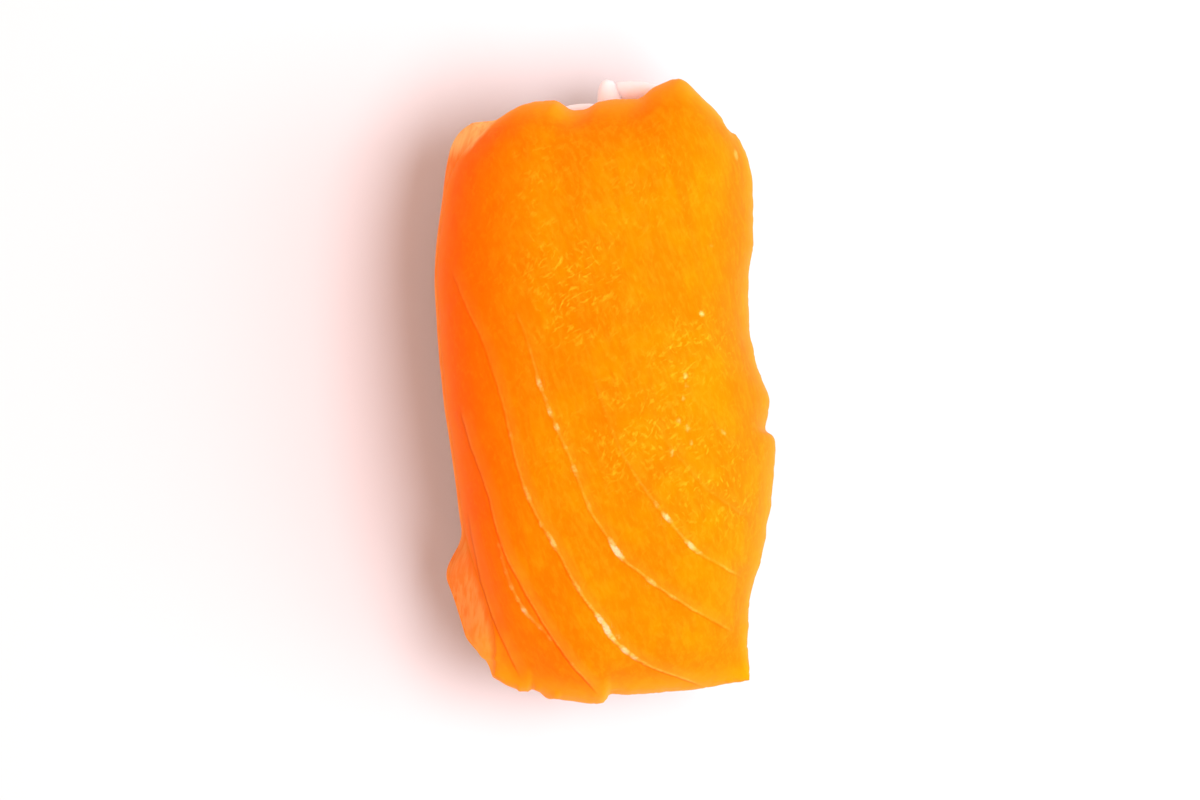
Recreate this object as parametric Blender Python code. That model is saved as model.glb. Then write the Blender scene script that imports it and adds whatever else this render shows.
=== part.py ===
"""Salmon nigiri: a pressed block of rice with one bias-cut slice of salmon draped over it.

Metres, +Z up. The block lies along Y and stands on z = 0, with the middle of the whole at x = y = 0.
The slice is a flat grid given a thickness and then laid over an arched form. The rice is a rounded
block: its top follows the underside of the slice a small gap below it, and its sides go down in rings
to a flat foot. Grains pressed into its surface leave dents, and a few stand out at the back end.
"""

import math
import random
from bisect import bisect_right

import bmesh
import bpy
import numpy as np
from mathutils import Vector
from mathutils.bvhtree import BVHTree

MM = 0.001

# The slice's upper edge seen from above, in millimetres, as four curves between its corners.
FRONT_EDGE = (
    (-10.5, -27.0), (-9.3, -28.1), (-7.4, -28.8), (-4.2, -29.5), (-1.6, -29.8), (0.6, -29.4),
    (5.0, -28.9), (9.3, -28.5), (14.0, -27.5),
)
BACK_EDGE = (
    (-11.6, 25.0), (-10.7, 25.9), (-9.8, 26.6), (-8.9, 27.2), (-7.4, 27.9), (-4.6, 28.1), (-2.4, 27.5),
    (-0.4, 28.0), (3.5, 28.5), (5.6, 29.8), (7.1, 30.2), (8.4, 29.6), (10.0, 28.0), (11.2, 26.7),
    (12.8, 25.0),
)
LEFT_EDGE = (
    (-10.5, -27.0), (-10.4, -25.3), (-10.6, -22.6), (-11.6, -18.8), (-12.6, -16.0), (-13.5, -12.4),
    (-14.0, -8.4), (-15.0, -1.6), (-15.6, 4.0), (-16.0, 12.0), (-15.3, 18.8), (-14.7, 21.0),
    (-13.7, 22.8), (-12.7, 24.0), (-11.6, 25.0),
)
RIGHT_EDGE = (
    (14.0, -27.5), (14.0, -20.9), (15.6, -14.0), (16.6, -6.0), (16.2, -4.0), (15.8, -1.0),
    (15.0, 2.0), (14.1, 5.5), (14.0, 11.0), (14.5, 15.7), (14.3, 20.6), (13.6, 23.5), (12.8, 25.0),
)
CELLS_ACROSS = 22
CELLS_ALONG = 38

# The arched form that the slice lies in.
CROWN_HEIGHT = 26.0 * MM
CROWN_DIP = 0.9 * MM
ARCH_HALF_WIDTH = 15.5 * MM
ARCH_HALF_LENGTH = 29.0 * MM
ARCH_RISE = 15.0 * MM
ARCH_POWER_ACROSS = 2.35
ARCH_POWER_ALONG = 2.9
ARCH_SAMPLES = 600
EDGE_HEIGHT = {"left": 11.6 * MM, "right": 10.2 * MM, "front": 8.6 * MM, "back": 12.2 * MM}
EDGE_BLEND_POWER = 10
WAVE_HEIGHT = 0.22 * MM
WAVE_LENGTHS = (17.0 * MM, 26.0 * MM)

# Thickness of the slice, and how its cut faces lean: how far the lower edge stands out from the
# upper one, and how far it lies below it.
THICKNESS_CROWN = 5.0 * MM
THICKNESS_SIDE = 3.7 * MM
THICKNESS_END = 3.4 * MM
CUT_OUT = {"left": 0.0 * MM, "right": -2.6 * MM, "front": -1.4 * MM, "back": -1.8 * MM}
CUT_DOWN = {"left": 3.6 * MM, "right": 1.9 * MM, "front": 2.4 * MM, "back": 2.0 * MM}
CUT_START = 0.78
CUT_STEPS = 2
CUT_BULGE = 0.35 * MM
CORNER_LIFT = {"front": 3.2 * MM, "back": 1.2 * MM}
CORNER_POWER = 5

# The flap at the front left corner, where the bias cut shows widest, and a small one at the back left.
# The shares of the slice's length say where each starts, is full, wanes and ends.
FLAP_OUT = 3.05 * MM
FLAP_SHARES = (-0.03, 0.08, 0.19, 0.275)
FLAP_LIFT = 3.5 * MM
FLAP_FALL = 1.0 * MM
FLAP_POWER = 1.3
BACK_FLAP_OUT = 2.4 * MM
BACK_FLAP_SHARES = (0.86, 0.985)

# How far apart the places are that give the level direction out of the slice.
OUTWARD_STEP = 0.02

# The block of rice, a rounded rectangle seen from above.
GAP = 0.3 * MM
BLOCK_MIDDLE = (0.0, 0.45 * MM)
BLOCK_HALF_WIDTH = 12.9 * MM
BLOCK_HALF_LENGTH = 27.6 * MM
BLOCK_CORNER_POWER = 4.5
BLOCK_SHOULDER = 9.2 * MM
BLOCK_RINGS = 6
BLOCK_BULGE = 0.7 * MM
BLOCK_FOOT = 1.1 * MM
CLEAR_REACH = 0.75 * MM
GRAIN_LENGTH = 6.4 * MM
GRAIN_WIDTH = 3.1 * MM
GRAIN_THICKNESS = 2.8 * MM
GRAIN_COUNT = 420
GRAIN_DENT = 0.8 * MM
DENT_LIMIT = 0.6
FOOT_CLEARANCE = 0.4 * MM
GRAIN_SEED = 7

# Grains that stand out at the back end, below the slice: the middle of each, and its turn about Z.
LOOSE_GRAINS = (
    ((0.7, 27.6, 8.6), 97.0),
    ((3.6, 28.9, 7.6), -8.0),
    ((-2.2, 27.0, 8.2), 3.0),
    ((-7.0, 26.4, 6.8), 12.0),
)
GRAIN_SEGMENTS = 14
GRAIN_RINGS = 8

SALMON_COLOUR = (1.0, 0.23, 0.012, 1.0)
RICE_COLOUR = (0.86, 0.80, 0.74, 1.0)
SALMON_ROUGHNESS = 0.4
RICE_ROUGHNESS = 0.5
SHARP_ANGLE = math.radians(50.0)

# Keeps a share of two weights from dividing nothing by nothing.
TINY = 1e-9


def clear_scene():
    for thing in list(bpy.data.objects):
        bpy.data.objects.remove(thing)


def make_material(name, colour, roughness):
    material = bpy.data.materials.new(name)
    material.use_nodes = True
    shader = material.node_tree.nodes["Principled BSDF"]
    shader.inputs["Base Color"].default_value = colour
    shader.inputs["Roughness"].default_value = roughness
    shader.inputs["Metallic"].default_value = 0.0
    return material


def smooth_curve(points):
    """A function from a share, 0 to 1, to the point that far along a smooth curve through the points."""
    knots = [Vector(point) * MM for point in points]
    lengths = [0.0]
    for start, end in zip(knots, knots[1:]):
        lengths.append(lengths[-1] + (end - start).length)
    last = len(knots) - 1
    slopes = []
    for i in range(len(knots)):
        before = max(i - 1, 0)
        after = min(i + 1, last)
        slopes.append((knots[after] - knots[before]) / (lengths[after] - lengths[before]))

    def point_at(share):
        distance = share * lengths[-1]
        i = min(bisect_right(lengths, distance), last) - 1
        span = lengths[i + 1] - lengths[i]
        f = (distance - lengths[i]) / span
        rise = f * f * (3.0 - 2.0 * f)
        point = knots[i].lerp(knots[i + 1], rise)
        point += slopes[i] * span * f * (1.0 - f) ** 2
        point -= slopes[i + 1] * span * f * f * (1.0 - f)
        return point

    return point_at


def even_stations(cells, half_span, rise, power):
    """Places from -1 to 1 that lie evenly along an arch of the given half span and rise."""
    angle = np.linspace(0.0, math.pi / 2.0, ARCH_SAMPLES)
    place = np.sin(angle) ** (2.0 / power)
    height = np.cos(angle) ** (2.0 / power)
    steps = np.hypot(np.diff(place) * half_span, np.diff(height) * rise)
    run = np.concatenate(([0.0], np.cumsum(steps)))
    wanted = np.linspace(-1.0, 1.0, cells + 1)
    return np.sign(wanted) * np.interp(np.abs(wanted) * run[-1], run, place)


def closing_stations(cells):
    """Places from -1 to 1 that lie a little closer together towards both ends."""
    even = np.linspace(-1.0, 1.0, cells + 1)
    return (even + np.sin(even * math.pi / 2.0)) / 2.0


EDGES = {
    "front": smooth_curve(FRONT_EDGE),
    "back": smooth_curve(BACK_EDGE),
    "left": smooth_curve(LEFT_EDGE),
    "right": smooth_curve(RIGHT_EDGE),
}


def plan_point(across, along):
    """Where a place of the slice, -1 to 1 each way, lies seen from above."""
    s = (across + 1.0) / 2.0
    t = (along + 1.0) / 2.0
    between_ends = EDGES["front"](s).lerp(EDGES["back"](s), t)
    between_sides = EDGES["left"](t).lerp(EDGES["right"](t), s)
    corners = EDGES["front"](0.0).lerp(EDGES["front"](1.0), s).lerp(
        EDGES["back"](0.0).lerp(EDGES["back"](1.0), s), t
    )
    return between_ends + between_sides - corners


def edge_value(values, across, along):
    """Blend of a value given for each edge, by which edge the place is nearest."""
    side = values["left"] if across < 0.0 else values["right"]
    end = values["front"] if along < 0.0 else values["back"]
    side_weight = abs(across) ** EDGE_BLEND_POWER + TINY
    end_weight = abs(along) ** EDGE_BLEND_POWER + TINY
    return (side * side_weight + end * end_weight) / (side_weight + end_weight)


def arch(across, along, softness):
    """1 along the crown, falling to 0 at every edge, and less steeply the softer it is."""
    over = max(1.0 - abs(across) ** ARCH_POWER_ACROSS, 0.0)
    down = max(1.0 - abs(along) ** ARCH_POWER_ALONG, 0.0)
    power = ARCH_POWER_ACROSS + (FLAP_POWER - ARCH_POWER_ACROSS) * softness
    return over ** (1.0 / power) * down ** (1.0 / ARCH_POWER_ALONG)


def wave(place):
    """Gentle unevenness of a hand-cut slice."""
    first, second = WAVE_LENGTHS
    turn = 2.0 * math.pi
    return WAVE_HEIGHT * (
        math.sin(turn * (place.x + 0.4 * place.y) / first)
        + math.cos(turn * (place.y - 0.6 * place.x) / second)
    )


def smooth_step(low, high, value):
    """0 at low, 1 at high, and smooth between them."""
    share = min(max((value - low) / (high - low), 0.0), 1.0)
    return share * share * (3.0 - 2.0 * share)


def flap(across, along):
    """How far the cut face stands out at the two left corners, 0 away from them."""
    share = (along + 1.0) / 2.0
    start, full, wane, end = FLAP_SHARES
    front = smooth_step(start, full, share) * smooth_step(end, wane, share)
    back = smooth_step(*BACK_FLAP_SHARES, share)
    return smooth_step(CUT_START, 1.0, -across) * (FLAP_OUT * front + BACK_FLAP_OUT * back)


def shell_point(across, along, side_inset, end_inset, crown_inset):
    """A point of the arched form, drawn in from the slice's upper surface by the three insets."""
    plan = plan_point(across, along)
    middle = plan_point(0.0, along)
    half_width = abs(plan_point(1.0, along).x - plan_point(-1.0, along).x) / 2.0
    half_length = abs(EDGES["back"](0.5).y - EDGES["front"](0.5).y) / 2.0
    x = middle.x + (plan.x - middle.x) * (1.0 - side_inset / half_width)
    y = plan.y * (1.0 - end_inset / half_length)
    flap_share = flap(across, along) / FLAP_OUT
    edge = edge_value(EDGE_HEIGHT, across, along) + flap_share * FLAP_LIFT
    lift = CORNER_LIFT["front"] if along < 0.0 else CORNER_LIFT["back"]
    edge += lift * abs(across * along) ** CORNER_POWER
    crown = CROWN_HEIGHT - CROWN_DIP * along * along - crown_inset
    bend = arch(across, along, flap_share)
    z = edge + (crown - edge) * bend + wave(plan) * bend
    return Vector((x, y, z))


def outward(across, along):
    """Level direction that points out of the slice, 0 at its middle."""
    if max(abs(across), abs(along)) < CUT_START:
        return Vector((0.0, 0.0))
    if abs(across) >= abs(along):
        start = plan_point(across, max(along - OUTWARD_STEP, -1.0))
        end = plan_point(across, min(along + OUTWARD_STEP, 1.0))
        out = Vector((end.y - start.y, start.x - end.x)) * math.copysign(1.0, across)
    else:
        start = plan_point(max(across - OUTWARD_STEP, -1.0), along)
        end = plan_point(min(across + OUTWARD_STEP, 1.0), along)
        out = Vector((start.y - end.y, end.x - start.x)) * math.copysign(1.0, along)
    return out.normalized()


def cut_edge(across, along):
    """The lower edge of the cut face beside a place of the upper edge."""
    upper = shell_point(across, along, 0.0, 0.0, 0.0)
    lean = edge_value(CUT_OUT, across, along) + flap(across, along)
    fall = edge_value(CUT_DOWN, across, along)
    if along < 0.0:
        fall += flap(across, along) / FLAP_OUT * FLAP_FALL
    out = outward(across, along) * lean
    return upper + Vector((out.x, out.y, -fall))


def slice_underside(across, along):
    """Underside of the slice: parallel to its top, then out to the lower edge of the cut face."""
    inner = shell_point(across, along, THICKNESS_SIDE, THICKNESS_END, THICKNESS_CROWN)
    reach = max(abs(across), abs(along))
    weight = smooth_step(CUT_START, 1.0, reach)
    if weight == 0.0:
        return inner
    return inner.lerp(cut_edge(across, along), weight)


def finish_mesh(name, mesh, material):
    thing = bpy.data.objects.new(name, mesh)
    bpy.context.scene.collection.objects.link(thing)
    mesh.materials.append(material)
    mesh.shade_smooth()
    mesh.set_sharp_from_angle(angle=SHARP_ANGLE)
    return thing


def flat_grid(mesh_builder, columns, rows):
    """A grid whose corners are at -1 and 1, with its columns and rows moved to the given places."""
    bmesh.ops.create_grid(mesh_builder, x_segments=CELLS_ACROSS, y_segments=CELLS_ALONG, size=1.0)
    for vert in mesh_builder.verts:
        column = round((vert.co.x + 1.0) / 2.0 * CELLS_ACROSS)
        row = round((vert.co.y + 1.0) / 2.0 * CELLS_ALONG)
        vert.co.x = columns[column]
        vert.co.y = rows[row]


def make_slice():
    """The grid pulled into a slab, whose top, cut faces and underside are then laid over the form."""
    slab = bmesh.new()
    columns = even_stations(CELLS_ACROSS, ARCH_HALF_WIDTH, ARCH_RISE, ARCH_POWER_ACROSS)
    rows = even_stations(CELLS_ALONG, ARCH_HALF_LENGTH, ARCH_RISE, ARCH_POWER_ALONG)
    flat_grid(slab, columns, rows)
    pulled = bmesh.ops.extrude_face_region(slab, geom=slab.faces[:])["geom"]
    top = [item for item in pulled if isinstance(item, bmesh.types.BMVert)]
    bmesh.ops.translate(slab, verts=top, vec=(0.0, 0.0, 1.0))
    walls = [edge for edge in slab.edges if abs(edge.verts[0].co.z - edge.verts[1].co.z) > 0.5]
    bmesh.ops.subdivide_edges(slab, edges=walls, cuts=CUT_STEPS)
    for vert in slab.verts:
        across, along, level = vert.co
        upper = shell_point(across, along, 0.0, 0.0, 0.0)
        lower = slice_underside(across, along)
        place = lower.lerp(upper, level)
        if 0.0 < level < 1.0:
            bulge = outward(across, along) * CUT_BULGE * math.sin(math.pi * level)
            place += Vector((bulge.x, bulge.y, 0.0))
        vert.co = place
    bmesh.ops.recalc_face_normals(slab, faces=slab.faces[:])
    mesh = bpy.data.meshes.new("salmon_slice")
    slab.to_mesh(mesh)
    slab.free()
    return finish_mesh("salmon_slice", mesh, make_material("salmon", SALMON_COLOUR, SALMON_ROUGHNESS))


def grain_dents(builder):
    """Sinks the surface between grains scattered over it, and leaves it where a grain's back is."""
    draw = random.Random(GRAIN_SEED)
    builder.normal_update()
    faces = builder.faces[:]
    areas = [face.calc_area() for face in faces]
    grains = []
    for face in draw.choices(faces, weights=areas, k=GRAIN_COUNT):
        corners = [vert.co for vert in face.verts]
        spot = corners[0].lerp(corners[1], draw.random()).lerp(corners[2], draw.random())
        turn = Vector([draw.gauss(0.0, 1.0) for _ in range(3)])
        lengthways = (turn - face.normal * turn.dot(face.normal)).normalized()
        grains.append((spot, lengthways, face.normal.cross(lengthways)))
    moves = {}
    for vert in builder.verts:
        back = 0.0
        for spot, lengthways, sideways in grains:
            offset = vert.co - spot
            reach = (2.0 * offset.dot(lengthways) / GRAIN_LENGTH) ** 2
            reach += (2.0 * offset.dot(sideways) / GRAIN_WIDTH) ** 2
            if reach < 1.0 and offset.length < GRAIN_LENGTH:
                back = max(back, math.sqrt(1.0 - reach))
        room = min(edge.calc_length() for edge in vert.link_edges)
        moves[vert] = vert.normal * min(GRAIN_DENT, DENT_LIMIT * room) * (back - 1.0)
    return moves


def block_plan(across, along):
    """Where a place of the block, -1 to 1 each way, lies seen from above: squares become rounded."""
    reach = max(abs(across), abs(along))
    power = BLOCK_CORNER_POWER
    length = (abs(across) ** power + abs(along) ** power) ** (1.0 / power)
    share = reach / length if length > 0.0 else 0.0
    x, y = BLOCK_MIDDLE
    return Vector((x + BLOCK_HALF_WIDTH * across * share, y + BLOCK_HALF_LENGTH * along * share, 0.0))


def height_below(slice_tree, place):
    """How high the block reaches at a place of its plan: a gap below what covers it nearby."""
    lowest = CROWN_HEIGHT
    for x in (-CLEAR_REACH, 0.0, CLEAR_REACH):
        for y in (-CLEAR_REACH, 0.0, CLEAR_REACH):
            start = Vector((place.x + x, place.y + y, -MM))
            hit = slice_tree.ray_cast(start, Vector((0.0, 0.0, 1.0)))[0]
            height = BLOCK_SHOULDER if hit is None else hit.z - GAP
            lowest = min(lowest, height)
    return lowest


def make_rice(slice_tree):
    """The arched top under the slice, its rim drawn down in rings to a flat foot, and grain dents."""
    block = bmesh.new()
    flat_grid(block, closing_stations(CELLS_ACROSS), closing_stations(CELLS_ALONG))
    for vert in block.verts:
        place = block_plan(vert.co.x, vert.co.y)
        place.z = height_below(slice_tree, place)
        vert.co = place
    rim = [edge for edge in block.edges if edge.is_boundary]
    middle = Vector((*BLOCK_MIDDLE, 0.0))
    for step in range(BLOCK_RINGS, 0, -1):
        made = bmesh.ops.extrude_edge_only(block, edges=rim)["geom"]
        share = (step - 1) / step
        rim = [item for item in made if isinstance(item, bmesh.types.BMEdge)]
        above = 1.0 - step / BLOCK_RINGS
        below = 1.0 - (step - 1) / BLOCK_RINGS
        swell = BLOCK_BULGE * (math.sin(math.pi * below) - math.sin(math.pi * above))
        if step == 1:
            swell -= BLOCK_FOOT
        for vert in [item for item in made if isinstance(item, bmesh.types.BMVert)]:
            out = vert.co - middle
            out.z = 0.0
            vert.co += out.normalized() * swell
            vert.co.z *= share
    bmesh.ops.contextual_create(block, geom=rim)
    bmesh.ops.recalc_face_normals(block, faces=block.faces[:])
    for vert, move in grain_dents(block).items():
        if vert.co.z > FOOT_CLEARANCE:
            vert.co += move
            vert.co.z = max(vert.co.z, FOOT_CLEARANCE)
    mesh = bpy.data.meshes.new("rice_block")
    block.to_mesh(mesh)
    block.free()
    return finish_mesh("rice_block", mesh, make_material("rice", RICE_COLOUR, RICE_ROUGHNESS))


def add_loose_grains(block):
    """Joins the grains that stand out at the back to the block."""
    for number, (middle, turn) in enumerate(LOOSE_GRAINS):
        builder = bmesh.new()
        bmesh.ops.create_uvsphere(builder, u_segments=GRAIN_SEGMENTS, v_segments=GRAIN_RINGS, radius=0.5)
        size = (GRAIN_LENGTH, GRAIN_WIDTH, GRAIN_THICKNESS)
        bmesh.ops.scale(builder, vec=size, verts=builder.verts[:])
        mesh = bpy.data.meshes.new(f"loose_grain_{number}")
        builder.to_mesh(mesh)
        builder.free()
        grain = bpy.data.objects.new(mesh.name, mesh)
        grain.location = Vector(middle) * MM
        grain.rotation_euler.z = math.radians(turn)
        grain.hide_render = True
        grain.display_type = "WIRE"
        bpy.context.scene.collection.objects.link(grain)
        join = block.modifiers.new(mesh.name, "BOOLEAN")
        join.operation = "UNION"
        join.solver = "EXACT"
        join.object = grain


clear_scene()
make_slice()
slice_tree = BVHTree.FromObject(bpy.data.objects["salmon_slice"], bpy.context.evaluated_depsgraph_get())
rice = make_rice(slice_tree)
add_loose_grains(rice)
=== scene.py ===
import math
import random

import bmesh
import bpy
import numpy as np
from mathutils import Euler, Matrix, Vector
from mathutils.bvhtree import BVHTree


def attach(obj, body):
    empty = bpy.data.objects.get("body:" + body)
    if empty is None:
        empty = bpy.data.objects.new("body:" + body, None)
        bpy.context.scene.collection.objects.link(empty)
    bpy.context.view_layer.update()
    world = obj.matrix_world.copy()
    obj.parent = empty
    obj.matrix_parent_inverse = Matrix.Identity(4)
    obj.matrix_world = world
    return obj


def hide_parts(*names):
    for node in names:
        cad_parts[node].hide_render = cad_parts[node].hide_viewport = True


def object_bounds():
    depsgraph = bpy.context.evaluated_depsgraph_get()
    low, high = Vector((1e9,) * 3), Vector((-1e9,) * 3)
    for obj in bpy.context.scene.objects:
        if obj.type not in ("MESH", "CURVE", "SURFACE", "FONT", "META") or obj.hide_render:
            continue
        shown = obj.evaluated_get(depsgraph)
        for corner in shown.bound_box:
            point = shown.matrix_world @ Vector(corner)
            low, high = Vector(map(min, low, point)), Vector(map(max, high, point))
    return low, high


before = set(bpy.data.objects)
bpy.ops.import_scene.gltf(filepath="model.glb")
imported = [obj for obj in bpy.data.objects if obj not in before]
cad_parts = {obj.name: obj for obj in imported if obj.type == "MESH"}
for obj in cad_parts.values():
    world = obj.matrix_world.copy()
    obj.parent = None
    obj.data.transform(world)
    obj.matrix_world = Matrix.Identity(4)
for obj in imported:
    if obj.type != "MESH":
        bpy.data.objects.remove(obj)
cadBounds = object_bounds()
mm = 0.001


class Wire:
    # a socket that can stand in a sum: each operator adds one Math node
    def __init__(self, finish, socket):
        self.finish = finish
        self.socket = socket

    def join(self, operation, left, right):
        return self.finish.add("ShaderNodeMath", {"operation": operation}, {0: left, 1: right})

    def __add__(self, other):
        return self.join("ADD", self, other)

    def __sub__(self, other):
        return self.join("SUBTRACT", self, other)

    def __rsub__(self, other):
        return self.join("SUBTRACT", other, self)

    def __mul__(self, other):
        return self.join("MULTIPLY", self, other)

    def __abs__(self):
        return self.finish.add("ShaderNodeMath", {"operation": "ABSOLUTE"}, {0: self})

    __radd__ = __add__
    __rmul__ = __mul__


class Finish:
    # one material: add() makes any node, feed() fills the shader's own sockets
    def __init__(self, name):
        self.material = bpy.data.materials.new(name)
        self.material.use_nodes = True
        self.tree = self.material.node_tree
        self.shader = self.tree.nodes["Principled BSDF"]

    def add(self, kind, settings=None, inputs=None, output=0):
        node = self.tree.nodes.new(kind)
        for key, value in (settings or {}).items():
            setattr(node, key, value)
        for key, value in (inputs or {}).items():
            if isinstance(value, Wire):
                self.tree.links.new(value.socket, node.inputs[key])
            else:
                node.inputs[key].default_value = value
        return Wire(self, node.outputs[output])

    def feed(self, **values):
        for key, value in values.items():
            socket = self.shader.inputs[key.replace("_", " ")]
            if isinstance(value, Wire):
                self.tree.links.new(value.socket, socket)
            else:
                socket.default_value = value

    def place(self, stretch=(1.0, 1.0, 1.0), turn=0.0):
        # object coordinates, turned about Z and stretched so that a pattern can run one way
        coordinates = self.add("ShaderNodeTexCoord", output="Object")
        return self.add("ShaderNodeMapping", {"vector_type": "TEXTURE"}, {
            "Vector": coordinates, "Rotation": (0.0, 0.0, turn),
            "Scale": [1.0 / value for value in stretch],
        })

    def noise(self, scale, detail, roughness, vector=None, twist=0.0):
        return self.add("ShaderNodeTexNoise", {}, {
            "Vector": vector or self.place(), "Scale": scale, "Detail": detail,
            "Roughness": roughness, "Distortion": twist,
        })

    def streaks(self, stretch, turn, roughness):
        # noise drawn out along one way; stretch is how many bumps there are in a metre each way
        return self.noise(1.0, 2.0, roughness, self.place(stretch, turn))

    def value(self, name):
        # a number kept on the piece's own points
        return self.add("ShaderNodeAttribute", {"attribute_name": name}, output="Fac")

    def step(self, value, low, high):
        # 0 below low, 1 above high, smooth between
        return self.add("ShaderNodeMapRange", {"interpolation_type": "SMOOTHSTEP"}, {
            "Value": value, "From Min": low, "From Max": high,
        })

    def mix(self, factor, first, second):
        return self.add("ShaderNodeMix", {"data_type": "RGBA"}, {0: factor, 6: first, 7: second}, 2)

    def bump(self, height, distance, strength):
        return self.add("ShaderNodeBump", {}, {
            "Height": height, "Distance": distance, "Strength": strength,
        })


def rgb(red, green, blue):
    return (red, green, blue, 1.0)


def smoothStep(low, high, value):
    share = np.clip((value - low) / (high - low), 0.0, 1.0)
    return share * share * (3.0 - 2.0 * share)


def bell(x, y, reachX, reachY):
    # 1 in the middle, falling away smoothly to about a third at the reach
    gap = np.hypot(x / reachX, y / reachY)
    return np.exp(-gap * gap)


def curveThrough(points, shares):
    # points at the given shares of the way along a smooth curve through the listed points, in metres
    knots = np.array(points, float) * mm
    runs = np.concatenate(([0.0], np.cumsum(np.linalg.norm(np.diff(knots, axis=0), axis=1))))
    order = np.arange(len(knots))
    after = np.minimum(order + 1, len(knots) - 1)
    before = np.maximum(order - 1, 0)
    slopes = (knots[after] - knots[before]) / (runs[after] - runs[before])[:, None]
    distance = np.asarray(shares) * runs[-1]
    i = np.clip(np.searchsorted(runs, distance, side="right") - 1, 0, len(knots) - 2)
    span = (runs[i + 1] - runs[i])[:, None]
    f = (distance[:, None] - runs[i][:, None]) / span
    rise = f * f * (3.0 - 2.0 * f)
    place = knots[i] * (1.0 - rise) + knots[i + 1] * rise
    return place + slopes[i] * span * f * (1.0 - f) ** 2 - slopes[i + 1] * span * f * f * (1.0 - f)


def cloud(x, y, cell, seed):
    # smooth random height, -1 to 1, over places given in metres, with bumps about one cell wide
    tableSize = 256
    table = np.random.RandomState(seed).uniform(-1.0, 1.0, (tableSize, tableSize))
    gx = x / cell + tableSize / 2
    gy = y / cell + tableSize / 2
    ix = np.floor(gx).astype(int)
    iy = np.floor(gy).astype(int)
    fx = gx - ix
    fy = gy - iy
    fx = fx * fx * (3.0 - 2.0 * fx)
    fy = fy * fy * (3.0 - 2.0 * fy)
    ix = ix % (tableSize - 1)
    iy = iy % (tableSize - 1)
    low = table[iy, ix] * (1.0 - fx) + table[iy, ix + 1] * fx
    high = table[iy + 1, ix] * (1.0 - fx) + table[iy + 1, ix + 1] * fx
    return low * (1.0 - fy) + high * fy


def keepValues(mesh, name, values):
    # stores one number for each point of a mesh, for its material to read
    layer = mesh.attributes.new(name, "FLOAT", "POINT")
    layer.data.foreach_set("value", np.asarray(values, np.float32))


def makePiece(name, mesh, finish):
    piece = bpy.data.objects.new(name, mesh)
    bpy.context.scene.collection.objects.link(piece)
    mesh.materials.append(finish.material)
    mesh.shade_smooth()
    return piece


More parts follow.
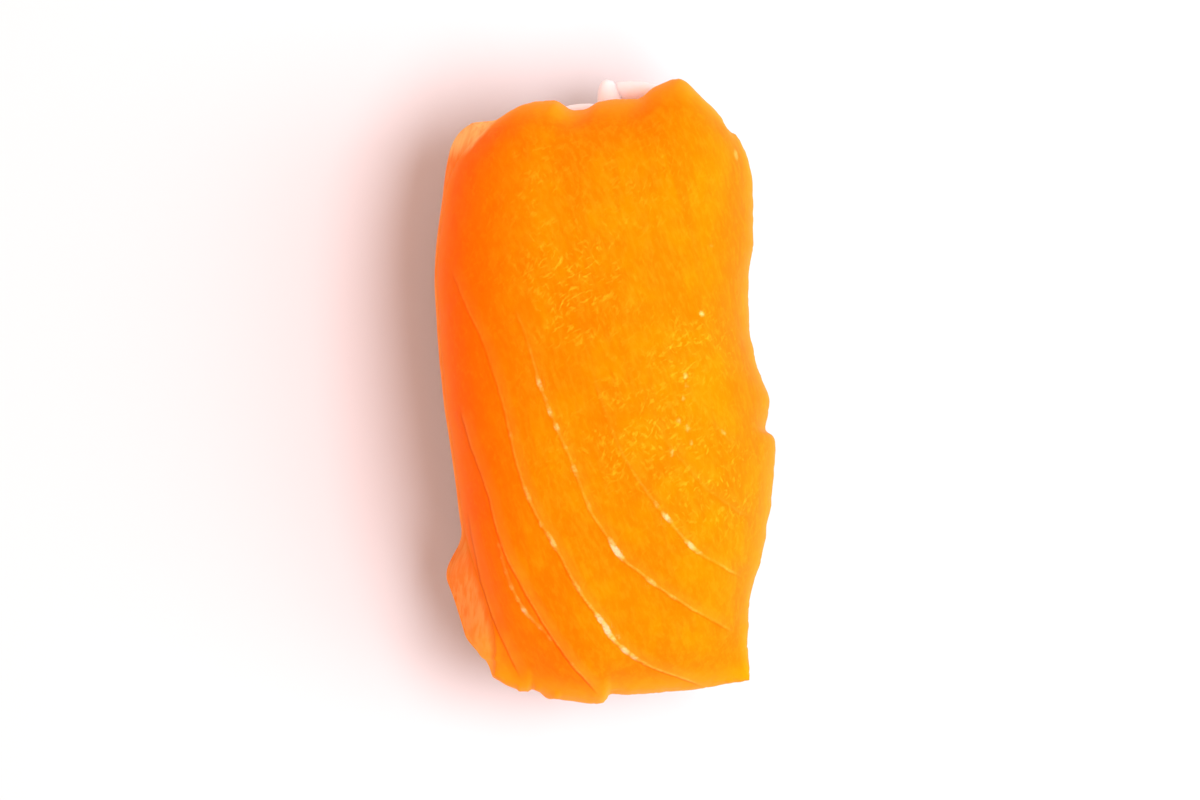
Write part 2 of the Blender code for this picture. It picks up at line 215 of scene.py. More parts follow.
# The slice. Its four outlines are in millimetres, seen from above: the front and back edges run from
# left to right, and the side edges from front to back.
salmonShape = {
    "frontEdge": (
        (-10.5, -27.0), (-9.3, -28.1), (-7.4, -28.8), (-6.9, -28.6), (-5.6, -29.2), (-3.6, -29.6),
        (-1.6, -29.8), (-0.1, -29.9), (0.35, -29.5), (0.6, -29.1), (1.8, -29.1), (5.0, -28.9),
        (9.3, -28.5), (14.0, -27.5),
    ),
    "backEdge": (
        (-11.6, 25.0), (-10.7, 25.9), (-9.8, 26.6), (-8.9, 27.2), (-7.4, 27.9), (-4.6, 28.2), (-4.0, 27.9),
        (-3.0, 27.3), (-1.6, 27.4), (-0.4, 28.1), (1.3, 28.3), (3.5, 28.4), (4.5, 29.2),
        (5.6, 29.9), (7.1, 30.3), (8.4, 29.6), (10.0, 28.0), (11.2, 26.7), (12.0, 25.5), (12.8, 25.0),
    ),
    "leftEdge": (
        (-10.5, -27.0), (-10.4, -25.3), (-10.6, -22.6), (-11.6, -18.8), (-12.6, -16.0),
        (-13.5, -12.4), (-14.0, -8.4), (-15.0, -1.6), (-15.6, 4.0), (-16.0, 12.0), (-15.3, 18.8),
        (-14.7, 21.0), (-13.7, 22.8), (-12.7, 24.0), (-11.6, 25.0),
    ),
    "rightEdge": (
        (14.0, -27.5), (14.0, -20.9), (15.6, -14.0), (16.5, -6.4), (16.6, -4.7), (16.3, -3.9),
        (15.7, -3.5), (15.8, -1.8), (15.9, -0.3), (15.2, 1.6), (14.6, 3.4), (14.1, 5.5),
        (14.0, 11.0), (14.5, 15.7), (14.3, 20.6), (13.6, 23.5), (12.8, 25.0),
    ),
    "outlineSamples": 600,
    "nickLength": 3.2 * mm,  # outlines are evened out over this, and finer nicks stay at the edge
    "nickStart": 0.93,  # how far out from the middle the nicks and the ragged edge begin
    "cellsAcross": 160,
    "cellsAlong": 260,
    "crownHeight": 26.0 * mm,
    "crownDip": 0.9 * mm,
    "archHalfWidth": 15.5 * mm,
    "archHalfLength": 29.0 * mm,
    "archRise": 15.0 * mm,
    "powerAcross": 2.35,  # higher is squarer
    "powerAlong": 2.9,
    "edgeHeight": {"left": 11.6 * mm, "right": 10.2 * mm, "front": 8.6 * mm, "back": 12.2 * mm},
    "edgeBlendPower": 10,
    "waveHeight": 0.22 * mm,
    "waveLengths": (17.0 * mm, 26.0 * mm),
    "waveSlants": (0.4, -0.6),
    "thicknessCrown": 5.0 * mm,
    "thicknessSide": 3.7 * mm,
    "thicknessEnd": 3.4 * mm,
    # how far the cut face leans out and drops from the upper edge, on each side
    "cutOut": {"left": 0.0 * mm, "right": -2.6 * mm, "front": -1.4 * mm, "back": -1.8 * mm},
    "cutDown": {"left": 3.6 * mm, "right": 1.9 * mm, "front": 2.4 * mm, "back": 2.0 * mm},
    "cutStart": 0.78,
    "cutSteps": 5,
    "cutBulge": 0.35 * mm,
    "cornerLift": {"front": 3.2 * mm, "back": 1.2 * mm},
    "cornerPower": 5,
    # the cut face turned up and out at the front left corner, and a smaller one at the back left
    "flapOut": 3.05 * mm,
    "flapShares": (-0.03, 0.08, 0.19, 0.275),
    "flapLift": 3.5 * mm,
    "flapFall": 1.0 * mm,
    "flapPower": 1.3,
    "backFlapOut": 2.4 * mm,
    "backFlapShares": (0.86, 0.985),
    # uneven edge: height, cell and seed
    "raggedSwell": (0.10 * mm, 1.6 * mm, 3),
    "raggedTeeth": (0.08 * mm, 0.6 * mm, 4),
    "raggedFromLeft": (-0.9, -0.6),
    "tornBits": (0.25 * mm, 0.9 * mm, 5),
    "tornRange": (0.15, 0.55),
    "tornAlong": (-0.9, -0.97),
    "tornAcross": (2.0 * mm, 0.0),
    # relief of the surface: height, cell, slant of x, slant of y, squeeze along the fibres and seed
    "ripples": (
        (0.06 * mm, 3.1 * mm, 0.4, -0.3, 1.0, 11),
        (0.025 * mm, 1.1 * mm, -0.7, 0.7, 0.4, 12),
        (0.012 * mm, 0.55 * mm, -0.7, 0.7, 0.35, 13),
    ),
    # what crosses a fat line from left to right: height, place and width in millimetres
    "lineProfile": (
        (-0.08, -0.10, 0.20),  # groove
        (0.07, 0.32, 0.26),  # lip
        (0.06, 1.0, 0.7),  # the flake on the right stands a little higher
        (-0.05, -0.8, 0.6),
    ),
    "lineStep": 0.2,
    "lineFade": (2.5, 2.0),
    "lineReach": (1.0, 1.6),
    "lineFar": 9.0,
    "fleckReach": 1.3,
    "wetGlintEverywhere": 0.12,
    "underCut": 0.75,
    # the front end of the cut face, palest partly from painted light that lifts the fold there: middle and
    # reach in millimetres
    "paleLitEnd": (-11.4, -25.6, 2.4, 2.6),
    "palePatch": (-12.7, 23.2, -9.7, 26.8),
    "palePatchEdge": (-0.15, 0.35),
    "palePatchFrom": (22.4, 24.2),
    # painted shade that deepens the left side, turned from the lamp: from and to in millimetres across
    "flankShadeFrom": (-5.0, -13.0),
    # painted light along the edges of the upper side: strength on each side, and how far out it starts
    "rimGlow": {"left": 0.25, "right": 0.5, "front": 0.9, "back": 0.9},
    "rimStart": 0.9,
}

# Fat lines between the flakes, in millimetres seen from above, back end first. depth is how far a
# line is cut into the surface and shine how bright its fat is, each given at both ends; growth says how
# late they rise, and layer 0 or 1 keeps neighbours apart.
fatLines = {
    "lowerLeft": {"layer": 0, "growth": 1.0, "depth": (0.4, 0.8), "shine": (0.2, 0.25), "points": (
        (-13.0, -10.6), (-12.4, -14.2), (-11.6, -18.2), (-10.2, -22.4), (-8.7, -25.6), (-7.8, -27.4))},
    "second": {"layer": 1, "growth": 1.0, "depth": (0.5, 0.8), "shine": (0.2, 0.45), "points": (
        (-13.6, -0.6), (-13.0, -3.6), (-11.0, -9.3), (-9.7, -14.2), (-8.4, -17.0), (-5.8, -21.6),
        (-3.5, -25.1), (-1.3, -27.7), (-0.2, -29.0))},
    "branch": {"layer": 0, "growth": 1.0, "depth": (0.1, 0.2), "shine": (0.2, 0.5), "points": (
        (-10.3, -13.0), (-9.4, -16.6), (-8.6, -18.7), (-7.4, -20.8), (-6.0, -22.3), (-4.9, -23.4))},
    "third": {"layer": 0, "growth": 1.3, "depth": (0.35, 0.5), "shine": (0.1, 0.65), "points": (
        (-14.8, 12.6), (-12.9, 8.1), (-11.3, 4.5), (-9.7, -0.3), (-8.7, -4.5), (-7.6, -8.6),
        (-6.1, -11.9), (-4.2, -15.1), (-2.3, -18.7), (-0.3, -21.4), (1.0, -23.4), (3.8, -25.6),
        (7.1, -27.0), (10.0, -28.2))},
    "fourth": {"layer": 1, "growth": 1.2, "depth": (0.1, 0.4), "shine": (0.12, 0.5), "points": (
        (-8.7, 8.7), (-7.4, 5.5), (-5.9, 0.4), (-4.8, -2.4), (-2.8, -7.1), (-1.3, -11.0),
        (0.4, -13.6), (1.6, -15.4), (3.2, -16.7), (5.2, -18.3), (8.1, -20.2), (12.5, -22.8))},
    "fifth": {"layer": 0, "growth": 4.0, "depth": (0.03, 0.3), "shine": (0.0, 0.5), "points": (
        (-8.3, 24.8), (-7.1, 21.3), (-5.5, 16.1), (-3.5, 11.6), (-2.6, 7.4), (-1.0, 1.6),
        (0.6, -3.2), (2.3, -6.7), (4.8, -10.3), (7.4, -13.5), (8.8, -14.9), (11.3, -16.4),
        (13.5, -17.7))},
    "sixth": {"layer": 1, "growth": 5.0, "depth": (0.03, 0.2), "shine": (0.0, 0.12), "points": (
        (-5.0, 24.2), (-3.2, 21.6), (-1.6, 18.7), (-0.3, 15.5), (0.9, 11.6), (2.2, 5.0),
        (4.5, -2.6), (6.4, -5.2), (8.4, -7.6), (10.0, -9.2), (12.5, -11.0), (14.4, -11.9))},
    "seventh": {"layer": 0, "growth": 5.0, "depth": (0.03, 0.12), "shine": (0.0, 0.06), "points": (
        (1.8, 22.6), (2.9, 18.7), (3.7, 13.6), (4.8, 9.0), (5.7, 4.5), (7.4, 2.0),
        (8.4, -0.4), (10.6, -3.2), (13.2, -5.5))},
    "eighth": {"layer": 1, "growth": 5.0, "depth": (0.03, 0.1), "shine": (0.0, 0.04), "points": (
        (6.7, 20.6), (7.8, 17.1), (8.4, 11.9), (9.3, 7.4), (10.3, 4.5), (11.9, 1.6), (13.9, 0.0))},
}

# Flecks of white fat on the lines: place and reach in millimetres, whiteness.
fatFlecks = (
    (0.6, -14.0, 0.5, 0.7), (1.1, -14.9, 0.8, 1.0), (1.6, -15.7, 0.4, 0.5),
    (-0.5, -21.3, 0.6, 0.9), (0.2, -22.3, 0.7, 1.0), (0.9, -23.2, 0.5, 0.6), (1.9, -24.4, 0.6, 0.8),
    (2.8, -25.1, 0.55, 0.7), (3.7, -25.6, 0.5, 0.45), (5.2, -26.3, 0.5, 0.3),
    (5.9, -11.7, 0.6, 0.75), (8.1, -14.3, 0.6, 0.7), (8.9, -15.0, 0.4, 0.5), (4.9, -10.4, 0.4, 0.4),
    (-4.9, -13.9, 0.9, 0.55), (-5.9, -12.3, 0.6, 0.4), (-7.4, -9.4, 0.8, 0.5), (-2.5, -18.3, 0.8, 0.45),
    (-8.9, -4.0, 0.6, 0.3), (-1.4, -20.0, 0.6, 0.4), (-6.0, 1.0, 0.6, 0.6), (-5.6, -0.4, 0.4, 0.4),
    (-5.1, -1.6, 0.5, 0.6), (-4.4, -3.2, 0.5, 0.6), (-3.6, -5.0, 0.5, 0.35), (-2.8, -7.2, 0.6, 0.5),
    (-1.4, -10.6, 0.7, 0.35), (4.4, -17.7, 0.8, 0.5), (6.6, -19.2, 0.6, 0.35),
    (-7.65, -20.6, 0.45, 0.75), (-7.0, -21.4, 0.45, 0.5), (-8.2, -19.4, 0.35, 0.45),
    (-8.8, -18.2, 0.4, 0.5), (-9.3, -16.8, 0.35, 0.45), (-9.65, -15.6, 0.35, 0.45),
    (-10.0, -14.4, 0.35, 0.4), (-6.2, -22.2, 0.4, 0.5), (-5.2, -23.2, 0.4, 0.4), (-3.1, -25.8, 0.5, 0.3),
)

# Loose bits of fat between the lines: place, half length and half width, turn in degrees, whiteness.
fatSpots = (
    (9.25, 7.55, 0.3, 0.22, -60.0, 0.8), (7.7, 1.7, 0.3, 0.24, -70.0, 0.65),
    (7.8, 0.8, 0.3, 0.2, -70.0, 0.45), (7.0, -2.5, 0.4, 0.24, -80.0, 0.48),
    (7.9, -3.2, 0.42, 0.24, -75.0, 0.54), (8.2, -4.6, 0.35, 0.22, -80.0, 0.42),
    (6.4, -5.5, 0.45, 0.24, -70.0, 0.5), (7.5, -0.4, 0.35, 0.22, -75.0, 0.42),
    (11.3, -3.6, 0.45, 0.2, -50.0, 0.45), (12.65, 22.8, 0.6, 0.2, -80.0, 0.6),
    (1.4, -22.9, 0.5, 0.2, -45.0, 0.4), (10.2, 14.0, 0.4, 0.3, 10.0, 0.25),
)

# Places where wet fibre ends catch the light: middle, reach across and along, and strength.
wetGlintPlaces = (
    (-2.8, 10.5, 4.5, 6.0, 1.0), (7.8, 4.0, 4.0, 3.2, 0.9), (3.5, -4.0, 7.0, 5.5, 0.8),
    (10.0, -8.5, 4.5, 4.5, 1.0), (4.0, 19.0, 5.0, 5.0, 0.35), (-6.0, 20.0, 4.0, 5.0, 0.4),
)


def evenStations(cells, halfSpan, rise, power):
    # places from -1 to 1 that lie evenly along an arch
    samples = 2000
    angle = np.linspace(0.0, math.pi / 2.0, samples)
    place = np.sin(angle) ** (2.0 / power)
    height = np.cos(angle) ** (2.0 / power)
    steps = np.hypot(np.diff(place) * halfSpan, np.diff(height) * rise)
    run = np.concatenate(([0.0], np.cumsum(steps)))
    wanted = np.linspace(-1.0, 1.0, cells + 1)
    return np.sign(wanted) * np.interp(np.abs(wanted) * run[-1], run, place)


def splitEdge(shape, points, shares):
    # an outline evened out over a few millimetres, and the nicks that this takes away
    fine = np.linspace(0.0, 1.0, shape["outlineSamples"] + 1)
    line = curveThrough(points, fine)
    length = np.linalg.norm(np.diff(line, axis=0), axis=1).sum()
    reach = int(shape["nickLength"] / length * shape["outlineSamples"])
    before = 2.0 * line[0] - line[reach:0:-1]
    after = 2.0 * line[-1] - line[-2:-reach - 2:-1]
    padded = np.concatenate([before, line, after])
    window = np.hanning(2 * reach + 3)[1:-1]
    window = window / window.sum()
    even = np.stack([np.convolve(padded[:, axis], window, "valid") for axis in (0, 1)], axis=-1)
    place = np.stack([np.interp(shares, fine, even[:, axis]) for axis in (0, 1)], axis=-1)
    return place, curveThrough(points, shares) - place


def planOf(shape, across, along):
    # where each crossing of the grid lies seen from above: a patch between the four outlines
    s = (across + 1.0) / 2.0
    t = (along + 1.0) / 2.0
    front, frontNicks = splitEdge(shape, shape["frontEdge"], s)
    back, backNicks = splitEdge(shape, shape["backEdge"], s)
    left, leftNicks = splitEdge(shape, shape["leftEdge"], t)
    right, rightNicks = splitEdge(shape, shape["rightEdge"], t)
    s = s[None, :, None]
    t = t[:, None, None]
    ends = front[None] * (1.0 - t) + back[None] * t
    sides = left[:, None] * (1.0 - s) + right[:, None] * s
    frontLine = front[:1][None] * (1.0 - s) + front[-1:][None] * s
    backLine = back[:1][None] * (1.0 - s) + back[-1:][None] * s
    plan = ends + sides - frontLine * (1.0 - t) - backLine * t
    start = shape["nickStart"]
    plan = plan + frontNicks[None] * smoothStep(1.0 - start, 0.0, t)
    plan = plan + backNicks[None] * smoothStep(start, 1.0, t)
    plan = plan + leftNicks[:, None] * smoothStep(1.0 - start, 0.0, s)
    return plan + rightNicks[:, None] * smoothStep(start, 1.0, s)


def edgeValue(values, power, across, along):
    # a value that belongs to each of the four sides, blended towards the corners
    side = np.where(across < 0.0, values["left"], values["right"])
    end = np.where(along < 0.0, values["front"], values["back"])
    sideWeight = np.abs(across) ** power + 1e-9
    endWeight = np.abs(along) ** power + 1e-9
    return (side * sideWeight + end * endWeight) / (sideWeight + endWeight)


def flapOf(shape, across, along):
    # how far the cut face stands out at the two left corners
    share = (along + 1.0) / 2.0
    left = smoothStep(shape["cutStart"], 1.0, -across)
    low, full, wane, end = shape["flapShares"]
    front = smoothStep(low, full, share) * smoothStep(end, wane, share)
    start, done = shape["backFlapShares"]
    back = smoothStep(start, done, share)
    return left * (shape["flapOut"] * front + shape["backFlapOut"] * back)


def outwardOf(plan, across, along):
    # level direction that points out of the slice, for the places near its edge
    alongRows = np.gradient(plan, axis=0)
    alongColumns = np.gradient(plan, axis=1)
    sideOut = np.stack([alongRows[..., 1], -alongRows[..., 0]], axis=-1) * np.sign(across)[..., None]
    endOut = np.stack([-alongColumns[..., 1], alongColumns[..., 0]], axis=-1) * np.sign(along)[..., None]
    out = np.where((np.abs(across) >= np.abs(along))[..., None], sideOut, endOut)
    return out / np.maximum(np.linalg.norm(out, axis=-1, keepdims=True), 1e-12)


def raggedOf(shape, plan, across, along):
    # how far the edge stands out unevenly, with torn bits along the left half of the front
    x, y = plan[..., 0], plan[..., 1]
    height, cell, seed = shape["raggedSwell"]
    ragged = height * cloud(x, y, cell, seed)
    height, cell, seed = shape["raggedTeeth"]
    ragged = ragged + height * np.abs(cloud(x, y, cell, seed))
    ragged = ragged * smoothStep(*shape["raggedFromLeft"], across)
    height, cell, seed = shape["tornBits"]
    torn = smoothStep(*shape["tornRange"], cloud(x, y, cell, seed))
    torn = torn * smoothStep(*shape["tornAlong"], along) * smoothStep(*shape["tornAcross"], x)
    return ragged + height * torn


def shellOf(shape, plan, across, along, insets):
    # the arched form, drawn in from the slice's upper surface by side, end and crown insets
    sideInset, endInset, crownInset = insets
    middle = plan[:, plan.shape[1] // 2, 0][:, None]
    halfWidth = np.abs(plan[:, -1, 0] - plan[:, 0, 0])[:, None] / 2.0
    halfLength = abs(plan[-1, plan.shape[1] // 2, 1] - plan[0, plan.shape[1] // 2, 1]) / 2.0
    x = middle + (plan[..., 0] - middle) * (1.0 - sideInset / halfWidth)
    y = plan[..., 1] * (1.0 - endInset / halfLength)
    edge = edgeValue(shape["edgeHeight"], shape["edgeBlendPower"], across, along)
    flap = flapOf(shape, across, along) / shape["flapOut"]
    edge = edge + flap * shape["flapLift"]
    lift = np.where(along < 0.0, shape["cornerLift"]["front"], shape["cornerLift"]["back"])
    edge = edge + lift * np.abs(across * along) ** shape["cornerPower"]
    crown = shape["crownHeight"] - shape["crownDip"] * along * along - crownInset
    power = shape["powerAcross"] + (shape["flapPower"] - shape["powerAcross"]) * flap
    over = np.clip(1.0 - np.abs(across) ** shape["powerAcross"], 0.0, 1.0) ** (1.0 / power)
    down = np.clip(1.0 - np.abs(along) ** shape["powerAlong"], 0.0, 1.0) ** (1.0 / shape["powerAlong"])
    acrossLength, alongLength = shape["waveLengths"]
    acrossSlant, alongSlant = shape["waveSlants"]
    wave = np.sin(2.0 * math.pi * (plan[..., 0] + acrossSlant * plan[..., 1]) / acrossLength)
    wave = wave + np.cos(2.0 * math.pi * (plan[..., 1] + alongSlant * plan[..., 0]) / alongLength)
    bend = over * down
    z = edge + (crown - edge) * bend + shape["waveHeight"] * wave * bend
    return np.stack([x, y, z], axis=-1)


def normalsOf(grid):
    normal = np.cross(np.gradient(grid, axis=1), np.gradient(grid, axis=0))
    return normal / np.maximum(np.linalg.norm(normal, axis=-1, keepdims=True), 1e-12)


def lineField(points, places):
    # distance of each place to the right of a line, in millimetres, and how far along the line it lies
    length = np.linalg.norm(np.diff(np.array(points), axis=0), axis=1).sum()
    shares = np.linspace(0.0, 1.0, int(length / salmonShape["lineStep"]) + 2)
    samples = curveThrough(points, shares) / mm
    ahead = np.gradient(samples, axis=0)
    ahead = ahead / np.linalg.norm(ahead, axis=1, keepdims=True)
    flat = places.reshape(-1, 2) / mm
    nearest = np.zeros(len(flat), int)
    best = np.full(len(flat), np.inf)
    for number, sample in enumerate(samples):
        gap = ((flat - sample) ** 2).sum(axis=1)
        closer = gap < best
        nearest[closer] = number
        best[closer] = gap[closer]
    offset = flat - samples[nearest]
    direction = ahead[nearest]
    side = offset[:, 1] * direction[:, 0] - offset[:, 0] * direction[:, 1]
    run = shares[nearest] * length + (offset * direction).sum(axis=1)
    size = places.shape[:-1]
    return side.reshape(size), run.reshape(size), np.sqrt(best).reshape(size), length


def fatField(shape, places):
    # for two layers of lines: signed distance, how bright the line is, and its depth
    size = places.shape[:-1]
    fadeStart, fadeEnd = shape["lineFade"]
    layers = []
    for layer in (0, 1):
        found = {
            "offset": np.full(size, shape["lineFar"]),
            "shine": np.zeros(size),
            "depth": np.zeros(size),
        }
        reach = np.full(size, np.inf)
        for line in fatLines.values():
            if line["layer"] != layer:
                continue
            side, run, distance, length = lineField(line["points"], places)
            ends = smoothStep(0.0, fadeStart, run) * smoothStep(0.0, fadeEnd, length - run)
            near = ends * (1.0 - smoothStep(*shape["lineReach"], distance))
            share = np.clip(run / length, 0.0, 1.0) ** line["growth"]
            closer = distance < reach
            reach = np.where(closer, distance, reach)
            found["offset"] = np.where(closer, side, found["offset"])
            for name in ("shine", "depth"):
                first, last = line[name]
                found[name] = np.where(closer, near * (first + (last - first) * share), found[name])
        layers.append(found)
    return layers


def reliefOf(shape, x, y, layers):
    # fine grooves and lips along the fat lines, low swells, and ridges that follow the fibres
    relief = 0.0
    for layer in layers:
        for height, middle, width in shape["lineProfile"]:
            ridge = height * np.exp(-((layer["offset"] - middle) / width) ** 2)
            relief = relief + layer["depth"] * ridge * mm
    for height, cell, slantX, slantY, squeeze, seed in shape["ripples"]:
        relief = relief + height * cloud(x + slantX * y, squeeze * (y + slantY * x), cell, seed)
    return relief


def flatSlab(shape):
    # a slab one unit thick that spans -1 to 1, with the grid on both faces and steps down its edge
    slab = bmesh.new()
    bmesh.ops.create_grid(slab, x_segments=shape["cellsAcross"], y_segments=shape["cellsAlong"], size=1.0)
    pulled = bmesh.ops.extrude_face_region(slab, geom=slab.faces[:])["geom"]
    top = [item for item in pulled if isinstance(item, bmesh.types.BMVert)]
    bmesh.ops.translate(slab, verts=top, vec=(0.0, 0.0, 1.0))
    walls = [edge for edge in slab.edges if abs(edge.verts[0].co.z - edge.verts[1].co.z) > 0.5]
    bmesh.ops.subdivide_edges(slab, edges=walls, cuts=shape["cutSteps"])
    bmesh.ops.recalc_face_normals(slab, faces=slab.faces[:])
    mesh = bpy.data.meshes.new("salmonSlice")
    slab.to_mesh(mesh)
    slab.free()
    return mesh


def keepFat(shape, mesh, x, y, onTop):
    # flecks and loose bits of fat, and how strongly the painted wet glints show at each place
    fleck = np.zeros(len(x))
    for middleX, middleY, size, white in fatFlecks:
        reach = shape["fleckReach"] * size
        fleck = np.maximum(fleck, white * bell(x - middleX, y - middleY, reach, reach))
    keepValues(mesh, "fleck", np.where(onTop, fleck, 0.0))
    spot = np.zeros(len(x))
    for middleX, middleY, halfLength, halfWidth, turn, white in fatSpots:
        c, s = math.cos(math.radians(turn)), math.sin(math.radians(turn))
        lengthways = (x - middleX) * c + (y - middleY) * s
        sideways = (y - middleY) * c - (x - middleX) * s
        spot = np.maximum(spot, white * bell(lengthways, sideways, halfLength, halfWidth))
    keepValues(mesh, "spot", np.where(onTop, spot, 0.0))
    wetGlint = np.zeros(len(x))
    for middleX, middleY, reachAcross, reachAlong, strength in wetGlintPlaces:
        wetGlint = np.maximum(wetGlint, strength * bell(x - middleX, y - middleY, reachAcross, reachAlong))
    keepValues(mesh, "wetGlint", np.where(onTop, shape["wetGlintEverywhere"] + wetGlint, 0.0))


def keepCuts(shape, mesh, x, y, level):
    # where the cut face shows, where it is palest, partly with painted light that lifts the fold at the
    # front left corner, and the painted shade that deepens the left side
    keepValues(mesh, "cutFace", np.where(level > 0.99, 0.0, np.where(level > 0.01, 1.0, shape["underCut"])))
    middleX, middleY, reachX, reachY = shape["paleLitEnd"]
    keepValues(mesh, "paleLitCutEnd", bell(x - middleX, y - middleY, reachX, reachY))
    fromX, fromY, toX, toY = shape["palePatch"]
    away = (toX - fromX) * (y - fromY) - (toY - fromY) * (x - fromX)
    away = away / math.hypot(toX - fromX, toY - fromY)
    patch = smoothStep(*shape["palePatchEdge"], away) * smoothStep(*shape["palePatchFrom"], y)
    keepValues(mesh, "patch", patch)
    keepValues(mesh, "flankShade", smoothStep(*shape["flankShadeFrom"], x))


def makeSalmon():
    shape = salmonShape
    stations = []
    for cells, halfSpan, power in (
        (shape["cellsAcross"], shape["archHalfWidth"], shape["powerAcross"]),
        (shape["cellsAlong"], shape["archHalfLength"], shape["powerAlong"]),
    ):
        stations.append(evenStations(cells, halfSpan, shape["archRise"], power))
    plan = planOf(shape, *stations)
    across, along = np.meshgrid(*stations)
    nearEdge = np.maximum(np.abs(across), np.abs(along))
    outward = outwardOf(plan, across, along)
    ragged = raggedOf(shape, plan, across, along) * smoothStep(shape["nickStart"], 1.0, nearEdge)
    plan = plan + outward * ragged[..., None]

    upper = shellOf(shape, plan, across, along, (0.0, 0.0, 0.0))
    insets = (shape["thicknessSide"], shape["thicknessEnd"], shape["thicknessCrown"])
    inner = shellOf(shape, plan, across, along, insets)
    flap = flapOf(shape, across, along)
    lean = edgeValue(shape["cutOut"], shape["edgeBlendPower"], across, along) + flap
    fall = edgeValue(shape["cutDown"], shape["edgeBlendPower"], across, along)
    fall = fall + flap / shape["flapOut"] * shape["flapFall"] * (along < 0.0)
    cutEdge = upper + np.concatenate([outward * lean[..., None], -fall[..., None]], axis=-1)
    weight = smoothStep(shape["cutStart"], 1.0, nearEdge)[..., None]
    lower = inner * (1.0 - weight) + cutEdge * weight

    layers = fatField(shape, upper[..., :2])
    relief = reliefOf(shape, upper[..., 0], upper[..., 1], layers)
    upper = upper + normalsOf(upper) * relief[..., None]

    # lay the flat slab over the form
    mesh = flatSlab(shape)
    flat = np.zeros(len(mesh.vertices) * 3, np.float32)
    mesh.vertices.foreach_get("co", flat)
    flat = flat.reshape(-1, 3)
    column = np.rint((flat[:, 0] + 1.0) / 2.0 * shape["cellsAcross"]).astype(int)
    row = np.rint((flat[:, 1] + 1.0) / 2.0 * shape["cellsAlong"]).astype(int)
    level = flat[:, 2].astype(float)
    topPlace = upper[row, column]
    lowPlace = lower[row, column]
    place = lowPlace + (topPlace - lowPlace) * level[:, None]
    bulge = outward[row, column] * (shape["cutBulge"] * np.sin(math.pi * level))[:, None]
    place[:, :2] += bulge
    mesh.vertices.foreach_set("co", place.astype(np.float32).ravel())
    mesh.update()

    onTop = level > 0.99
    for number, layer in enumerate(layers):
        for name, below in (("offset", shape["lineFar"]), ("shine", 0.0), ("depth", 0.0)):
            values = np.where(onTop, layer[name][row, column], below)
            keepValues(mesh, f"line{name.capitalize()}{number}", values)
    x, y = place[:, 0] / mm, place[:, 1] / mm
    keepFat(shape, mesh, x, y, onTop)
    keepCuts(shape, mesh, x, y, level)
    # painted light along the edges of the upper side
    rim = edgeValue(shape["rimGlow"], shape["edgeBlendPower"], across, along)
    rim = rim * smoothStep(shape["rimStart"], 1.0, nearEdge)
    keepValues(mesh, "rim", np.where(onTop, rim[row, column], 0.0))
    return makePiece("salmonSlice", mesh, salmonFinish())


# stretch is how many bumps a pattern has in a metre along each way, and turn its angle about Z
salmonLook = {
    "deep": rgb(0.94, 0.175, 0.0005),
    "fresh": rgb(0.97, 0.222, 0.0005),
    # deeper red for the painted shade on the left side, turned from the lamp
    "flankShade": rgb(0.93, 0.125, 0.0005),
    "cut": rgb(1.0, 0.33, 0.07),
    "cutDeep": rgb(0.97, 0.23, 0.03),
    # palest cut flesh at the front end, partly painted light that lifts the fold there
    "paleLitCutEnd": rgb(1.0, 0.44, 0.04),
    # painted light along the edges of the upper side
    "rim": rgb(1.0, 0.34, 0.002),
    "paleFat": rgb(1.0, 0.52, 0.11),
    "patch": rgb(1.0, 0.54, 0.17),
    # fat lines, and painted light just right of each line
    "line": rgb(1.0, 0.43, 0.05),
    "fat": rgb(1.0, 0.58, 0.30),
    # painted shade in the grooves and just left of each fat line
    "groove": rgb(0.62, 0.075, 0.0),
    # painted highlight of the wet glints, also the colour of the fine grit
    "glint": rgb(1.0, 0.39, 0.012),
    "mottle": (300.0, 3.0, 0.6),
    "broadMottle": (110.0, 2.0, 0.5),
    "speckle": (1700.0, 2.0, 0.6),
    "crumb": (3600.0, 1.0, 0.5),
    "fade": (330.0, 1.0, 0.5),
    "wobble": (650.0, 2.0, 0.5),
    "bandStretch": (620.0, 75.0, 300.0),
    "bandTurn": 0.26,
    "bandStrength": 0.8,
    "gritStretch": (2300.0, 800.0, 1500.0),
    "gritTurn": 0.35,
    "gritStrength": 0.15,
    "flankShadeStrength": 0.6,
    "strokeStretch": (3000.0, 1250.0, 1500.0),
    "strokeTurns": ((-0.45, 1.0), (-1.0, 0.9), (0.6, 0.8)),
    # how strongly the wet glints are painted in as highlights
    "paintedGlintStrength": 0.65,
    "wobbleWidth": 0.22,  # how far a fat line strays, in millimetres
    # painted light right of each fat line and painted shade left of it
    "sideLightShade": 0.22,
    # how dark the painted shade in the grooves is
    "grooveShade": 0.75,
    "streakStretch": (2600.0, 330.0, 1300.0),
    "streakTurn": -0.25,
    "fibreStretch": (1900.0, 520.0, 900.0),
    "fibreTurn": 0.35,
    "bumpDepth": 0.07 * mm,
    "bumpStrength": 0.6,
    "roughness": 0.5,
    "ior": 1.12,
    "specular": 0.3,
    "specularTint": rgb(1.0, 0.6, 0.1),
    "inside": 0.22,
    "insideScale": 1.6 * mm,
    "insideRadius": (1.0, 0.28, 0.08),
}


